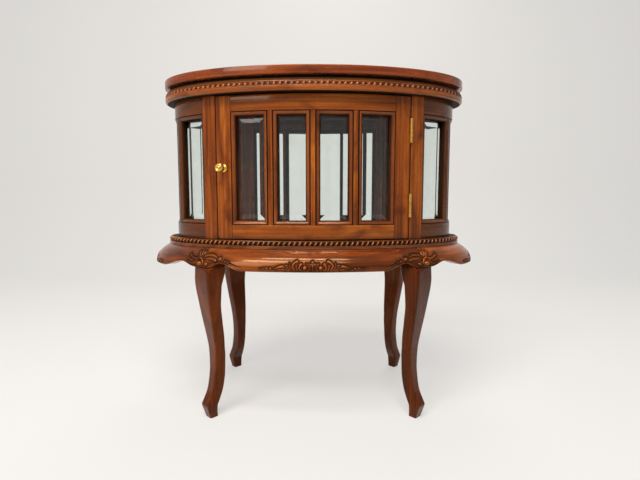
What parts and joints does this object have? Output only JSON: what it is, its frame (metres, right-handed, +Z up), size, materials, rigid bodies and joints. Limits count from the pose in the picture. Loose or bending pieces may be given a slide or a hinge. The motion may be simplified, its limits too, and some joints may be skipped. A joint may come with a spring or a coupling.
{
  "type": "display table",
  "caption": "Oval glazed display case with a hinged curved door and a lift-off top, standing on a swelled apron and cabriole legs.",
  "frame": {"origin": "on the floor, under the middle of the case", "axes": "+Z up, -Y to the front where the door is, +X to the right as seen from the front"},
  "size_m": [0.7538, 0.4068, 0.74],
  "materials": {
    "mahogany": "red-brown mahogany under high gloss lacquer",
    "door_mahogany": "orange-brown mahogany under high gloss lacquer",
    "dark_mahogany": "dark mahogany under high gloss lacquer",
    "glass": "clear bevelled glass",
    "brass": "polished brass",
    "steel": "plated steel catch"
  },
  "bodies": {
    "cabinet": {"cornice": "mahogany", "post_front_right": "dark_mahogany", "post_rear_right": "dark_mahogany", "post_rear_left": "dark_mahogany", "post_front_left": "dark_mahogany", "rear_rail_top": "dark_mahogany", "rear_rail_bottom": "dark_mahogany", "rear_mullion_1": "dark_mahogany", "rear_mullion_2": "dark_mahogany", "rear_mullion_3": "dark_mahogany", "rear_pane_1": "glass", "rear_pane_2": "glass", "rear_pane_3": "glass", "rear_pane_4": "glass", "right_rail_top": "dark_mahogany", "right_rail_bottom": "dark_mahogany", "right_mullion_1": "dark_mahogany", "right_mullion_2": "dark_mahogany", "right_pane_1": "glass", "right_pane_2": "glass", "right_pane_3": "glass", "left_rail_top": "dark_mahogany", "left_rail_bottom": "dark_mahogany", "left_mullion_1": "dark_mahogany", "left_mullion_2": "dark_mahogany", "left_pane_1": "glass", "left_pane_2": "glass", "left_pane_3": "glass", "hinge_upper_post_leaf": "brass", "hinge_lower_post_leaf": "brass", "door_catch": "steel", "base_board": "mahogany", "apron_front": "mahogany", "apron_right": "mahogany", "apron_back": "mahogany", "apron_left": "mahogany", "leg_front_right": "mahogany", "leg_back_right": "mahogany", "leg_back_left": "mahogany", "leg_front_left": "mahogany"},
    "door": {"door_stile_left": "door_mahogany", "door_stile_right": "door_mahogany", "door_rail_top": "door_mahogany", "door_rail_bottom": "door_mahogany", "door_mullion_1": "door_mahogany", "door_mullion_2": "door_mahogany", "door_mullion_3": "door_mahogany", "door_pane_1": "glass", "door_pane_2": "glass", "door_pane_3": "glass", "door_pane_4": "glass", "hinge_upper_door_leaf": "brass", "hinge_lower_door_leaf": "brass", "door_knob": "brass"},
    "top": {"top_panel": "dark_mahogany", "top_rim_front": "mahogany", "top_rim_right": "mahogany", "top_rim_back": "mahogany", "top_rim_left": "mahogany"}
  },
  "joints": [
    {"name": "door_hinge", "type": "hinge", "parent": "cabinet", "child": "door", "pos_m": [0.20797, -0.1221, 0.538], "axis": [0, 0, 1], "range_deg": [0, 110]},
    {"name": "top_lift", "type": "slide", "parent": "cabinet", "child": "top", "axis": [0, 0, 1], "range_m": [0, 0.06]}
  ]
}
